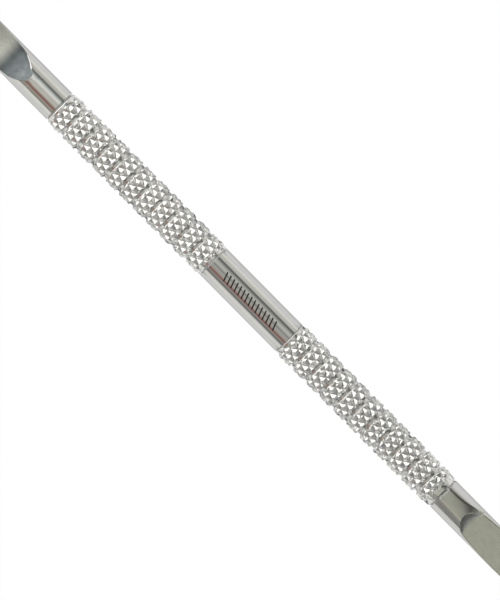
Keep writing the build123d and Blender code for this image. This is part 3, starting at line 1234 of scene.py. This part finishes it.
def floor_material():
    """Pale floor, lit from within so that it stays even.

    The steel sees it darker close to the tool, where the tool keeps the light off it, and under the grips in
    dark and bright spots, painted shade and painted glow.
    """
    material, tree, shader = new_material("Studio floor", 0.0)
    from_tool = object_millimetres(tree, 1).math("ABSOLUTE")
    from_middle = object_millimetres(tree, 0).math("ABSOLUTE")
    in_steel = blend_values(smooth_step(from_tool, *FLOOR_SHADE_REACH), *FLOOR_IN_STEEL)
    # Painted shade and painted glow: spots that the steel sees in the floor under the grips.
    spots = add_node(tree, "ShaderNodeTexNoise", {
        "Scale": FLOOR_SPOTS_PER_METRE, "Vector": object_point(tree)})
    spotted_floor_shade = blend_values(smooth_step(spots, *FLOOR_SPOT_RANGE), *FLOOR_SPOT_SHADE_AND_GLOW)
    in_steel = blend_values(window(from_middle, *FLOOR_UNDER_GRIP), in_steel, spotted_floor_shade)
    for label, value in (
        ("Emission Strength", blend_values(seen_by_camera(tree), in_steel, FLOOR_BRIGHTNESS)),
        ("Emission Color", (1.0, 1.0, 1.0, 1.0)),
        ("Base Color", FLOOR_COLOUR),
        ("Roughness", 1.0),
        ("Specular IOR Level", 0.0),
    ):
        feed(shader[label], value)
    return material


def make_floor(size):
    """Round floor just under the tool."""
    shape = bmesh.new()
    bmesh.ops.create_circle(shape, cap_ends=True, segments=FLOOR_CORNERS, radius=size / 2,
                            matrix=Matrix.Translation((0, 0, -CREST_RADIUS * MM)))
    mesh = bpy.data.meshes.new("studio_floor")
    shape.to_mesh(mesh)
    shape.free()
    mesh.materials.append(floor_material())
    linked("studio_floor", mesh)


# Where the tool's middle is in the picture, in rows right of and below its centre
ORIGIN_OFFSET = (1.35, -0.05)
PICTURE_ROWS = 600
SENSOR_WIDTH = 36
CLIP_START = 0.01
CLIP_END = 10.0


def make_camera(studio):
    """Camera above the tool, turned so that the tool runs from the upper left to the lower right."""
    along = Vector((1, 0, 0))
    aside = Vector((0, -math.cos(studio.roll), math.sin(studio.roll)))
    towards = Vector((0, math.sin(studio.roll), math.cos(studio.roll)))
    right = math.cos(studio.turn) * along - math.sin(studio.turn) * aside
    down = math.sin(studio.turn) * along + math.cos(studio.turn) * aside
    row = studio.view_height / PICTURE_ROWS
    target = -(ORIGIN_OFFSET[0] * right + ORIGIN_OFFSET[1] * down) * row
    data = bpy.data.cameras.new("camera")
    data.sensor_width = SENSOR_WIDTH
    data.lens = data.sensor_width * studio.distance / studio.view_height
    data.clip_start = CLIP_START
    data.clip_end = CLIP_END
    camera = linked("camera", data)
    pose = Matrix((right, -down, towards)).transposed().to_4x4()
    pose.translation = target + towards * studio.distance
    camera.matrix_world = pose
    bpy.context.scene.camera = camera


# Operators

def grain():
    """The shared grain group, built the first time that it is asked for."""
    return bpy.data.node_groups.get("Grain") or grain_group()


def axis_band():
    """The shared group for the distance from the tool's axis, built once."""
    return bpy.data.node_groups.get("Distance from axis") or axis_band_group()


class CUTICLE_OT_barrel(bpy.types.Operator):
    """Make the polished centre band with its etched strokes"""

    bl_idname = "cuticle.barrel"
    bl_label = "Centre band"

    def execute(self, context):
        material = polished_material(context.scene.cuticle_finish, grain())
        make_barrel("polished_barrel", "centre_barrel", material)
        return {"FINISHED"}


class CUTICLE_OT_grips(bpy.types.Operator):
    """Make the two knurled grips"""

    bl_idname = "cuticle.grips"
    bl_label = "Knurled grips"

    def execute(self, context):
        knurl = context.scene.cuticle_knurl
        material = knurl_material(context.scene.cuticle_finish, grain(), axis_band())
        tree = knurl_tree()
        for name, node, flat, run_out in (
            ("front_knurled_grip", "front_grip", knurl.front_flat, knurl.front_run_out),
            ("rear_knurled_grip", "rear_grip", knurl.rear_flat, knurl.rear_run_out),
        ):
            make_grip(name, node, flat, run_out, knurl, tree, material)
        return {"FINISHED"}


class CUTICLE_OT_tips(bpy.types.Operator):
    """Make the spoon-shaped pusher and the flat scraper"""

    bl_idname = "cuticle.tips"
    bl_label = "Ground tips"

    def execute(self, context):
        blades = context.scene.cuticle_blades
        material = tip_material(context.scene.cuticle_finish, grain())
        make_tip("spoon_pusher", "pusher_tip", Spoon(blades), material)
        make_tip("flat_scraper", "scraper_tip", Chisel(blades), material)
        return {"FINISHED"}


class CUTICLE_OT_studio(bpy.types.Operator):
    """Make the floor, the soft surroundings and the camera"""

    bl_idname = "cuticle.studio"
    bl_label = "Studio"

    def execute(self, context):
        studio = context.scene.cuticle_studio
        make_sky()
        make_floor(studio.floor_size)
        make_camera(studio)
        return {"FINISHED"}


class CUTICLE_PT_panel(bpy.types.Panel):
    """Sidebar panel with the pieces of the tool and their settings"""

    bl_idname = "CUTICLE_PT_panel"
    bl_label = "Cuticle pusher"
    bl_space_type = "VIEW_3D"
    bl_region_type = "UI"
    bl_category = "Cuticle pusher"

    def draw(self, context):
        for name, kind in SETTINGS.items():
            box = self.layout.box()
            for label in kind.__annotations__:
                box.prop(getattr(context.scene, name), label)
        for operator in OPERATORS:
            self.layout.operator(operator.bl_idname)


SETTINGS = {
    "cuticle_knurl": KnurlSettings,
    "cuticle_blades": BladeSettings,
    "cuticle_finish": FinishSettings,
    "cuticle_studio": StudioSettings,
}
OPERATORS = (CUTICLE_OT_studio, CUTICLE_OT_barrel, CUTICLE_OT_grips, CUTICLE_OT_tips)


def register():
    """Registers the settings, the operators and the panel."""
    for kind in (*SETTINGS.values(), *OPERATORS, CUTICLE_PT_panel):
        bpy.utils.register_class(kind)
    for name, kind in SETTINGS.items():
        setattr(bpy.types.Scene, name, bpy.props.PointerProperty(type=kind))


def unregister():
    """Removes what register added."""
    for name in SETTINGS:
        delattr(bpy.types.Scene, name)
    for kind in reversed((*SETTINGS.values(), *OPERATORS, CUTICLE_PT_panel)):
        bpy.utils.unregister_class(kind)


def main():
    """Makes the whole scene."""
    register()
    bpy.ops.cuticle.studio()
    bpy.ops.cuticle.barrel()
    bpy.ops.cuticle.grips()
    bpy.ops.cuticle.tips()


if __name__ == "__main__":
    main()
